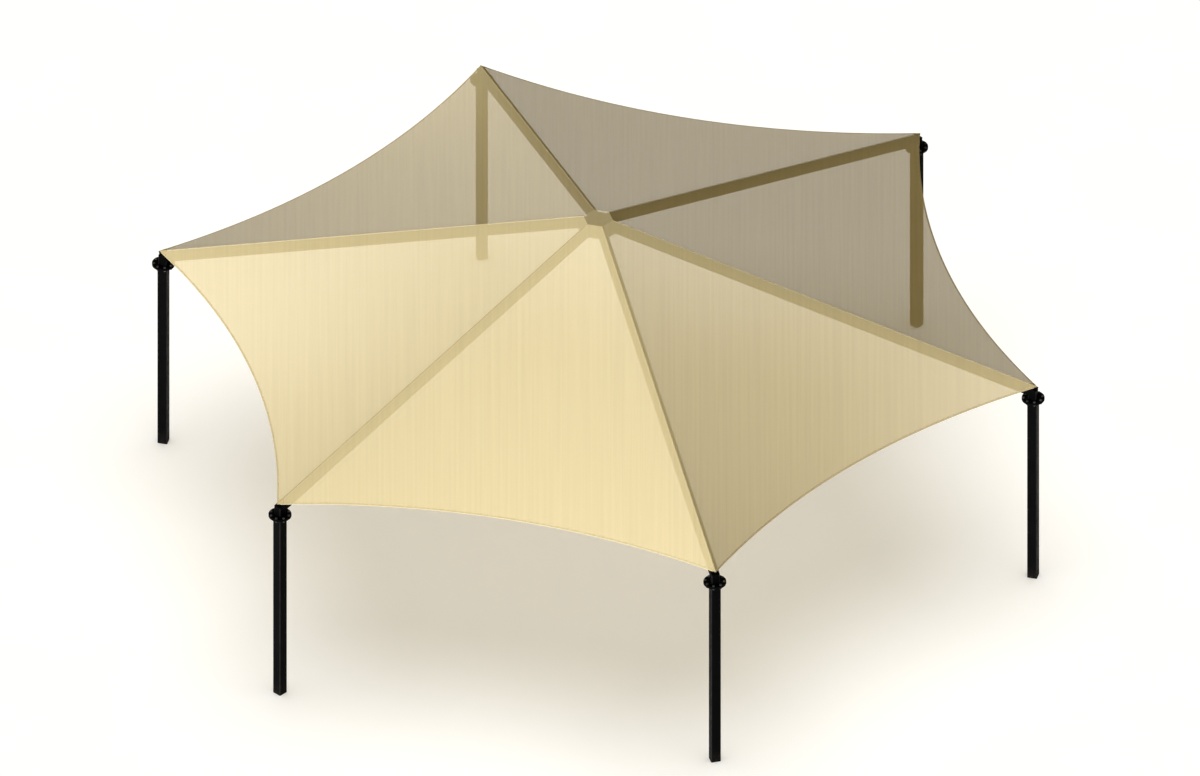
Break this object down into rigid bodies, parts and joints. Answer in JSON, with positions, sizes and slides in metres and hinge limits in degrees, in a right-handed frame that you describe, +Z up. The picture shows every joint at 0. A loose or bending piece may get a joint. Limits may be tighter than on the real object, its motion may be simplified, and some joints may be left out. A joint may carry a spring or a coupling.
{
  "type": "hexagonal shade structure",
  "caption": "Open hexagonal shade structure: square steel posts with bolted round flanges, rafters rising to a central hub, and a tensioned knitted fabric canopy with curved eaves.",
  "frame": {"origin": "ground level under the middle of the canopy", "axes": "+Z up, +X from the middle towards post 1, posts every 60 degrees anticlockwise from above"},
  "size_m": [12.504, 10.8706, 4.811],
  "materials": {
    "black_steel": "black powder coat",
    "tan_fabric": "knitted shade cloth, half transparent"
  },
  "bodies": {
    "root": {"post_1": "black_steel", "post_2": "black_steel", "post_3": "black_steel", "post_4": "black_steel", "post_5": "black_steel", "post_6": "black_steel", "post_flange_1": "black_steel", "post_flange_2": "black_steel", "post_flange_3": "black_steel", "post_flange_4": "black_steel", "post_flange_5": "black_steel", "post_flange_6": "black_steel", "elbow_flange_1": "black_steel", "elbow_flange_2": "black_steel", "elbow_flange_3": "black_steel", "elbow_flange_4": "black_steel", "elbow_flange_5": "black_steel", "elbow_flange_6": "black_steel", "elbow_1": "black_steel", "elbow_2": "black_steel", "elbow_3": "black_steel", "elbow_4": "black_steel", "elbow_5": "black_steel", "elbow_6": "black_steel", "rafter_1": "black_steel", "rafter_2": "black_steel", "rafter_3": "black_steel", "rafter_4": "black_steel", "rafter_5": "black_steel", "rafter_6": "black_steel", "corner_lug_1": "black_steel", "corner_lug_2": "black_steel", "corner_lug_3": "black_steel", "corner_lug_4": "black_steel", "corner_lug_5": "black_steel", "corner_lug_6": "black_steel", "hub": "black_steel", "crown_plate": "black_steel", "canopy_panel_1": "tan_fabric", "canopy_panel_2": "tan_fabric", "canopy_panel_3": "tan_fabric", "canopy_panel_4": "tan_fabric", "canopy_panel_5": "tan_fabric", "canopy_panel_6": "tan_fabric", "canopy_crown": "tan_fabric"}
  },
  "joints": []
}
